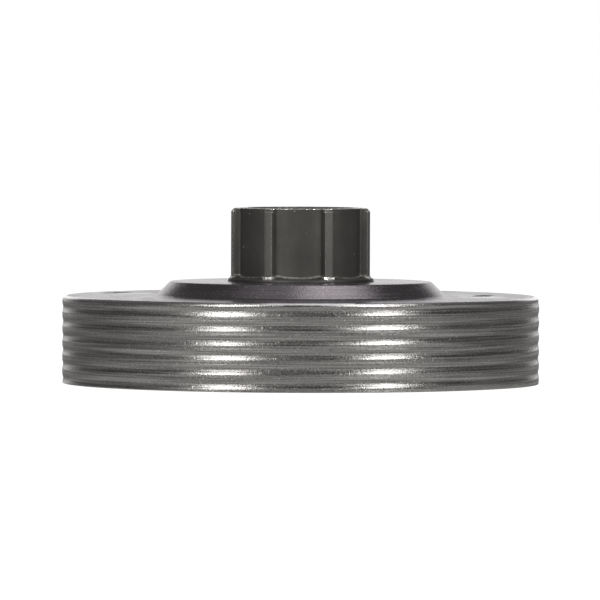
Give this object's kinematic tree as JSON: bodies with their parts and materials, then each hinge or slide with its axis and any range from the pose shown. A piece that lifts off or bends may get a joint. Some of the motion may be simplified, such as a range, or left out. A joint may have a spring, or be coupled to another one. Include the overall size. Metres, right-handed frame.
{
  "type": "splined clutch drum",
  "caption": "Round steel clutch drum with a helically grooved wall, a dished web with a low conical boss, and a dark splined hub that carries a floating chain rim.",
  "frame": {"origin": "centre of the drum's open rim, on the plane that the rim stands on", "axes": "+Z along the drum's axis, from the open rim towards the splined hub; -Y is the side that the picture shows"},
  "size_m": [0.0741, 0.074, 0.0272],
  "materials": {
    "turned_steel": "turned, lightly oiled, with fine rings",
    "black_oxide_steel": "black oxide, satin, worn bright on its edges"
  },
  "bodies": {
    "root": {"drum_shell": "turned_steel", "splined_hub": "black_oxide_steel"}
  },
  "joints": []
}
